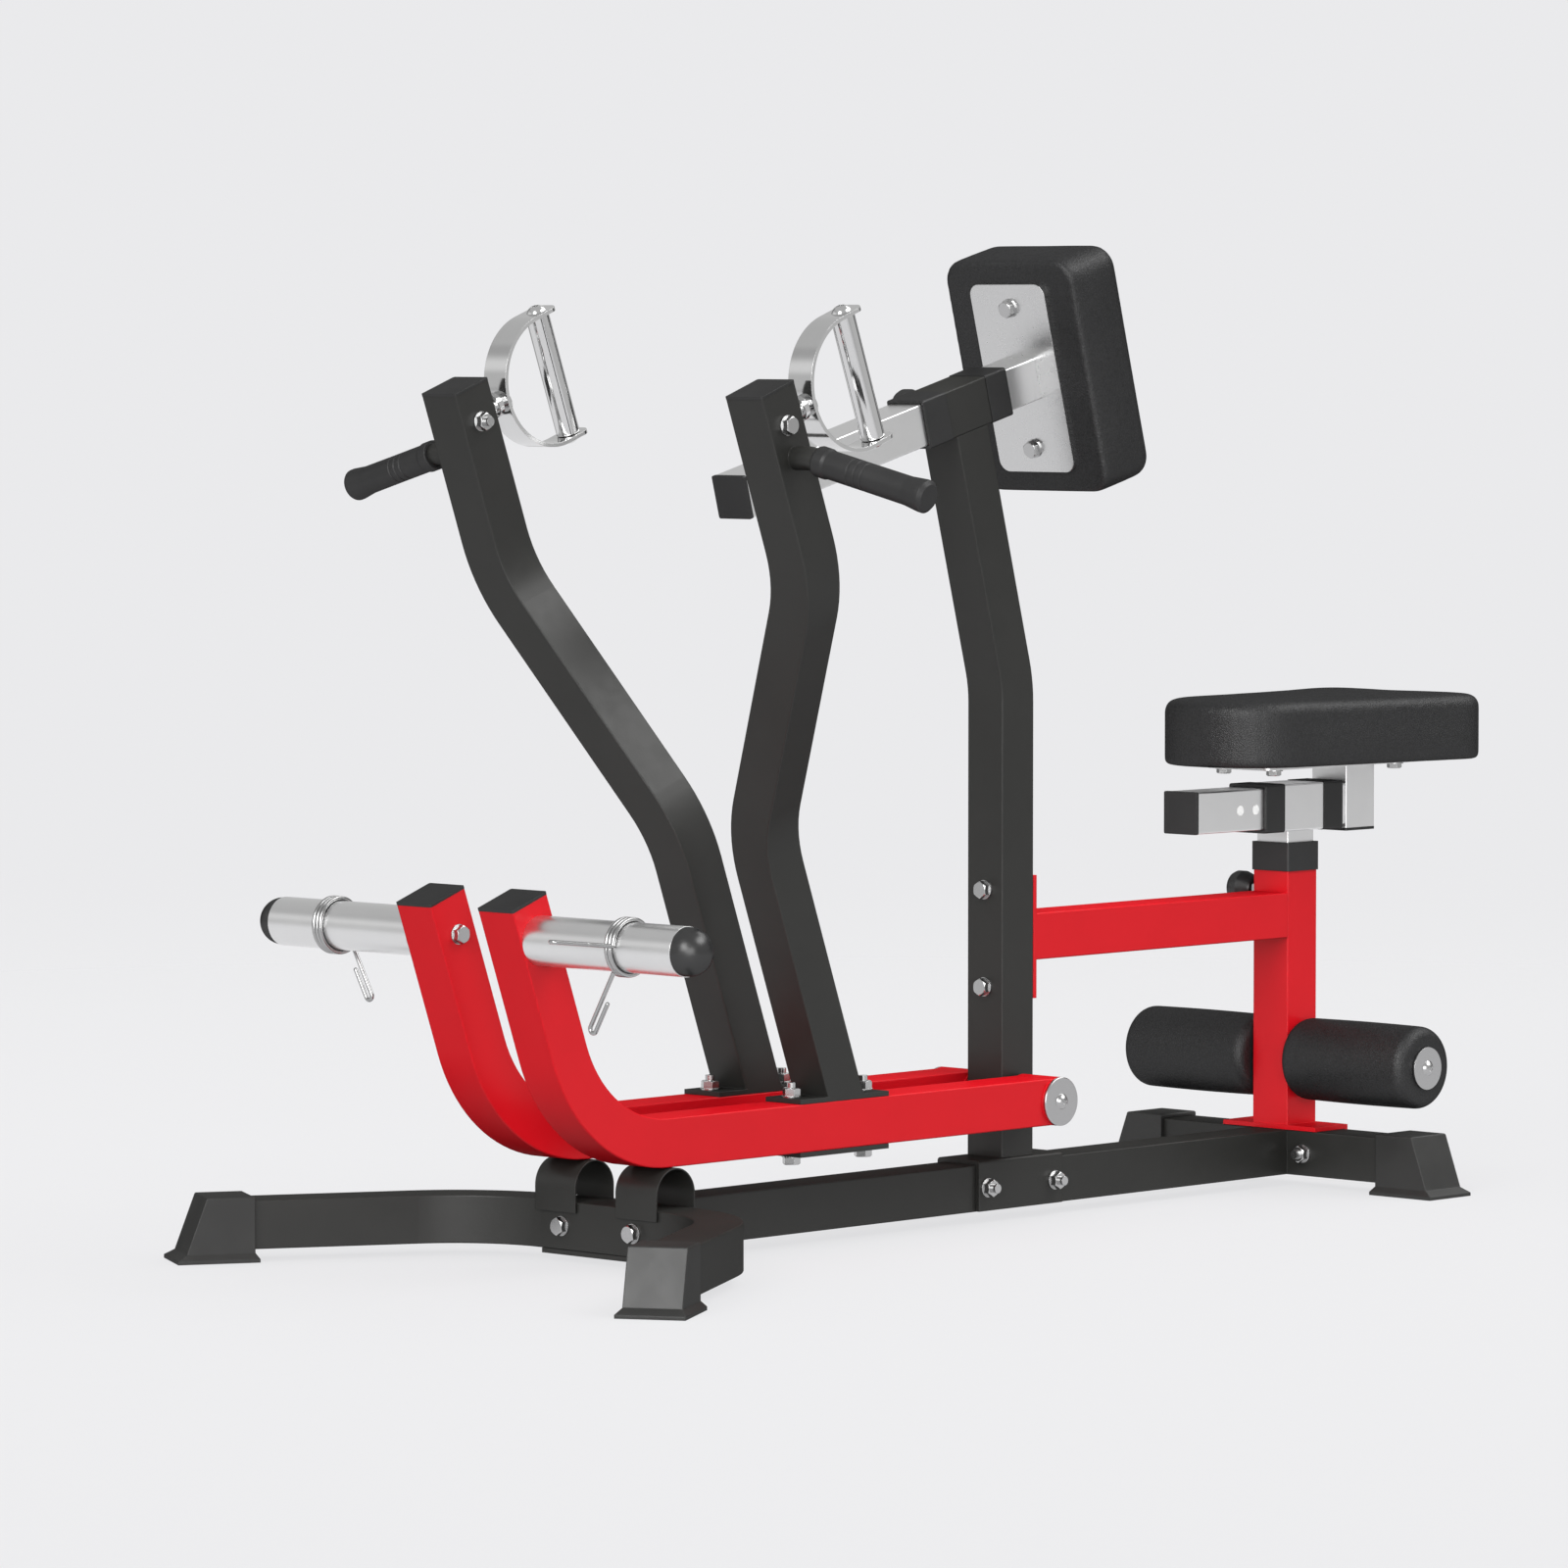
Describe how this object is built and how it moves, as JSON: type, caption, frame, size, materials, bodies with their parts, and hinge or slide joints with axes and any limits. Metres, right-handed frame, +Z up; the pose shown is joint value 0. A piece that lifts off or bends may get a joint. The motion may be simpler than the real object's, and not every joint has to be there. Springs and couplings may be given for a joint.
{
  "type": "seated lever row machine",
  "caption": "Plate-loaded seated row machine: two lever arms with D and side handles, chest pad, sliding seat and leg rollers.",
  "frame": {"origin": "on the floor, under the middle of the machine's overall box", "axes": "+X rearward to the seat end, +Y to the machine's right side with the adjuster knobs, +Z up"},
  "size_m": [1.5938, 0.8256, 1.0401],
  "materials": {
    "red_paint": "gloss powder coat",
    "black_paint": "satin powder coat",
    "silver_steel": "satin",
    "chrome": "polished",
    "zinc_bolts": "bright zinc",
    "black_plastic": "moulded, fine texture",
    "white_plastic": "gloss",
    "boot_rubber": "moulded",
    "grip_rubber": "moulded, soft sheen",
    "upholstery": "pebble-grain leatherette"
  },
  "bodies": {
    "frame": {"base_frame": "black_paint", "front_leg": "black_paint", "boot_front_left": "boot_rubber", "boot_front_right": "boot_rubber", "boot_rear_left": "boot_rubber", "boot_rear_right": "boot_rubber", "stop_arches": "black_paint", "column": "black_paint", "chest_sleeve": "black_paint", "chest_bushes": "black_plastic", "seat_post": "red_paint", "seat_brace": "red_paint", "post_bush": "black_plastic", "roller_shaft": "silver_steel", "pivot_shaft": "silver_steel", "roller_end_washers": "chrome", "pivot_end_caps": "chrome", "frame_bolts": "zinc_bolts", "pin_housings": "zinc_bolts"},
    "arm_left": {"arm_lower_left": "red_paint", "arm_upper_left": "black_paint", "arm_caps_left": "black_plastic", "arm_clamp_plate_left": "black_paint", "weight_sleeve_left": "silver_steel", "sleeve_cap_left": "black_plastic", "arm_bolts_left": "zinc_bolts", "side_grip_left": "grip_rubber"},
    "arm_right": {"arm_lower_right": "red_paint", "arm_upper_right": "black_paint", "arm_caps_right": "black_plastic", "arm_clamp_plate_right": "black_paint", "weight_sleeve_right": "silver_steel", "sleeve_cap_right": "black_plastic", "arm_bolts_right": "zinc_bolts", "side_grip_right": "grip_rubber"},
    "swivel_left": {"dhandle_strap_left": "chrome"},
    "swivel_right": {"dhandle_strap_right": "chrome"},
    "grip_left": {"dhandle_grip_left": "chrome"},
    "grip_right": {"dhandle_grip_right": "chrome"},
    "clip_left": {"spring_clip_left": "chrome"},
    "clip_right": {"spring_clip_right": "chrome"},
    "seat_column": {"seat_riser": "silver_steel", "seat_bushes": "black_plastic", "seat_pin_housing": "zinc_bolts"},
    "seat_carriage": {"seat_slide_tube": "silver_steel", "seat_bracket": "silver_steel", "seat_tube_caps": "black_plastic", "seat_fasteners": "zinc_bolts", "seat_hole_plugs": "white_plastic", "seat_pad": "upholstery"},
    "chest_carriage": {"chest_slide_tube": "silver_steel", "chest_tube_cap": "black_plastic", "chest_plate": "silver_steel", "chest_bolts": "zinc_bolts", "chest_pad": "upholstery"},
    "post_knob": {"post_pin": "black_plastic"},
    "chest_knob": {"chest_pin": "black_plastic"},
    "seat_knob": {"seat_pin": "black_plastic"},
    "leg_roller_left": {"roller_left": "upholstery"},
    "leg_roller_right": {"roller_right": "upholstery"}
  },
  "joints": [
    {"name": "arm_left_lift", "type": "hinge", "parent": "frame", "child": "arm_left", "pos_m": [0.1041, -0.0585, 0.13], "axis": [0, 1, 0], "range_deg": [0, 45]},
    {"name": "arm_right_lift", "type": "hinge", "parent": "frame", "child": "arm_right", "pos_m": [0.1041, 0.0585, 0.13], "axis": [0, 1, 0], "range_deg": [0, 45]},
    {"name": "dhandle_left_swivel", "type": "hinge", "parent": "arm_left", "child": "swivel_left", "pos_m": [-0.43306, -0.2174, 0.87338], "axis": [0.9385, 0, 0.3453], "continuous": true},
    {"name": "dhandle_right_swivel", "type": "hinge", "parent": "arm_right", "child": "swivel_right", "pos_m": [-0.43306, 0.2174, 0.87338], "axis": [0.9385, 0, 0.3453], "continuous": true},
    {"name": "grip_left_spin", "type": "hinge", "parent": "swivel_left", "child": "grip_left", "pos_m": [-0.35282, -0.2174, 0.9029], "axis": [-0.3453, 0, 0.9385], "continuous": true},
    {"name": "grip_right_spin", "type": "hinge", "parent": "swivel_right", "child": "grip_right", "pos_m": [-0.35282, 0.2174, 0.9029], "axis": [-0.3453, 0, 0.9385], "continuous": true},
    {"name": "clip_left_slide", "type": "slide", "parent": "arm_left", "child": "clip_left", "axis": [0, -1, 0], "range_m": [-0.06, 0.06]},
    {"name": "clip_right_slide", "type": "slide", "parent": "arm_right", "child": "clip_right", "axis": [0, 1, 0], "range_m": [-0.06, 0.06]},
    {"name": "seat_height", "type": "slide", "parent": "frame", "child": "seat_column", "axis": [0, 0, 1], "range_m": [0, 0.1]},
    {"name": "seat_reach", "type": "slide", "parent": "seat_column", "child": "seat_carriage", "axis": [1, 0, 0], "range_m": [0, 0.1052]},
    {"name": "chest_reach", "type": "slide", "parent": "frame", "child": "chest_carriage", "axis": [0.9659, 0, 0.2588], "range_m": [-0.04, 0.1]},
    {"name": "post_pin_pull", "type": "slide", "parent": "frame", "child": "post_knob", "axis": [0, 1, 0], "range_m": [0, 0.008], "stiffness_N_per_m": 1200},
    {"name": "chest_pin_pull", "type": "slide", "parent": "frame", "child": "chest_knob", "axis": [0, 1, 0], "range_m": [0, 0.008], "stiffness_N_per_m": 1200},
    {"name": "seat_pin_pull", "type": "slide", "parent": "seat_column", "child": "seat_knob", "axis": [0, 1, 0], "range_m": [0, 0.008], "stiffness_N_per_m": 1200},
    {"name": "roller_left_spin", "type": "hinge", "parent": "frame", "child": "leg_roller_left", "pos_m": [0.5767, -0.115, 0.1405], "axis": [0, 1, 0], "continuous": true},
    {"name": "roller_right_spin", "type": "hinge", "parent": "frame", "child": "leg_roller_right", "pos_m": [0.5767, 0.115, 0.1405], "axis": [0, 1, 0], "continuous": true}
  ]
}
